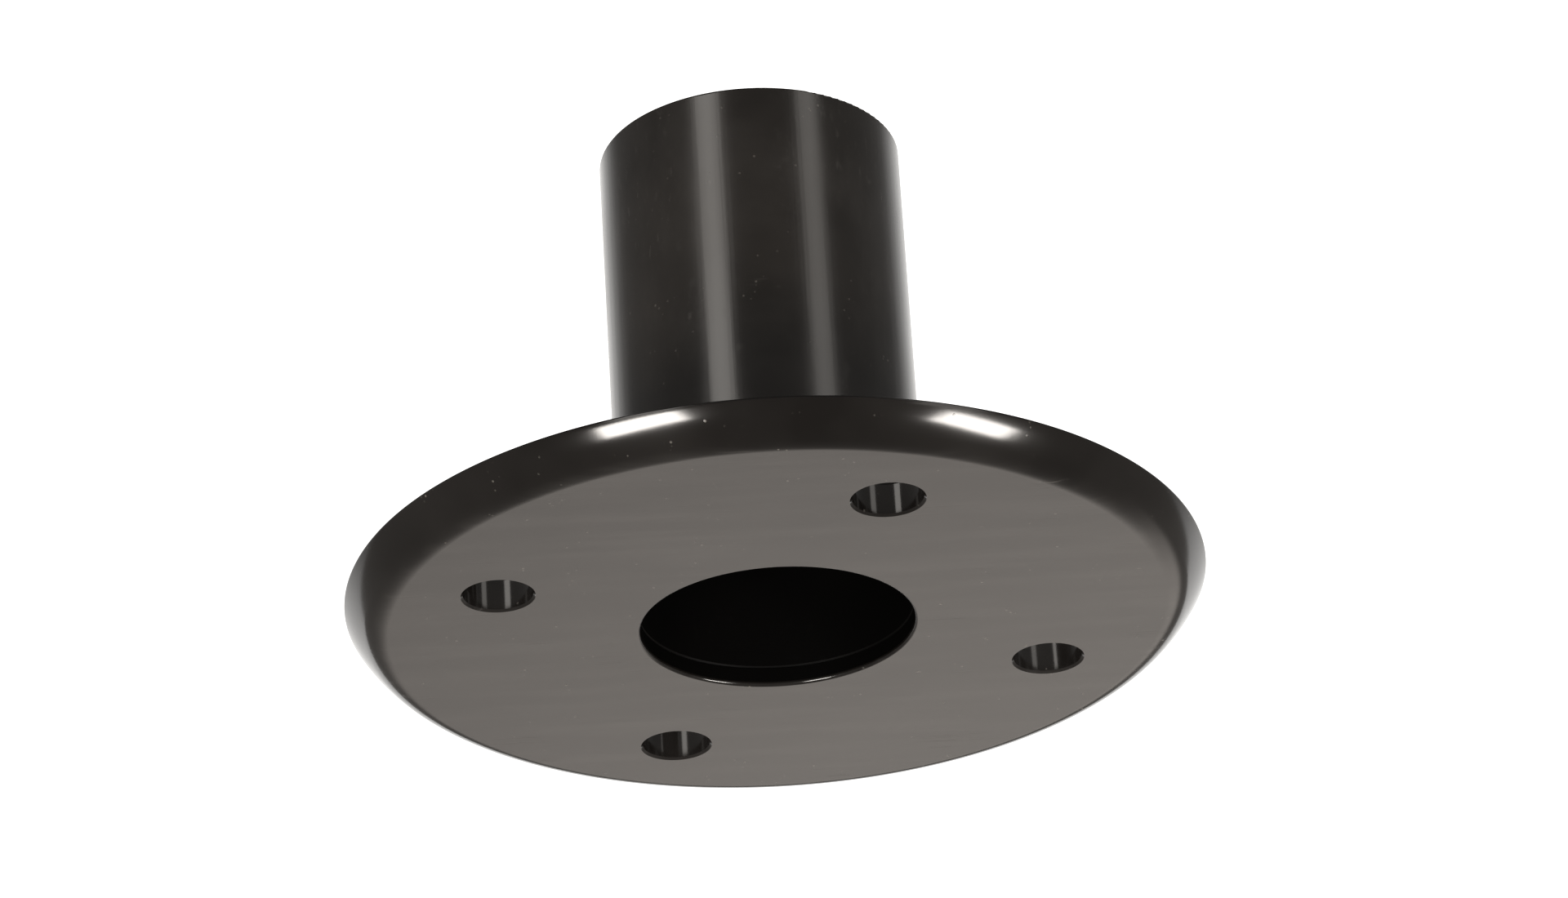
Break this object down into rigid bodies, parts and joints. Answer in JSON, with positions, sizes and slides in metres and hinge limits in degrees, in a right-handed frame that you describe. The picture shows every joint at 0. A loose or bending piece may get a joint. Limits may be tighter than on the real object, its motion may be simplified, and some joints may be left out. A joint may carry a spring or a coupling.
{
  "type": "pole socket flange",
  "caption": "Round steel flange with a rounded rim, plain screw holes and a welded tube socket that takes a 35 mm pole.",
  "frame": {"origin": "on the bore's axis, in the plane of the flat visible face; the part stands on that face", "axes": "+Z along the tube, away from the visible face; +X through one screw hole's centre"},
  "size_m": [0.112, 0.112, 0.0695],
  "materials": {
    "plate_coat": "smooth black gloss coat over steel, with fine rub marks",
    "tube_coat": "black semi-gloss coat over drawn steel tube, faint lengthwise draw lines",
    "weld_coat": "black coat over a rippled weld bead",
    "disc_coat": "black satin coat over a blanked steel disc"
  },
  "bodies": {
    "root": {"flange_plate": "plate_coat", "socket_tube": "tube_coat", "base_weld": "weld_coat", "stop_disc": "disc_coat", "stop_weld": "weld_coat"}
  },
  "joints": []
}
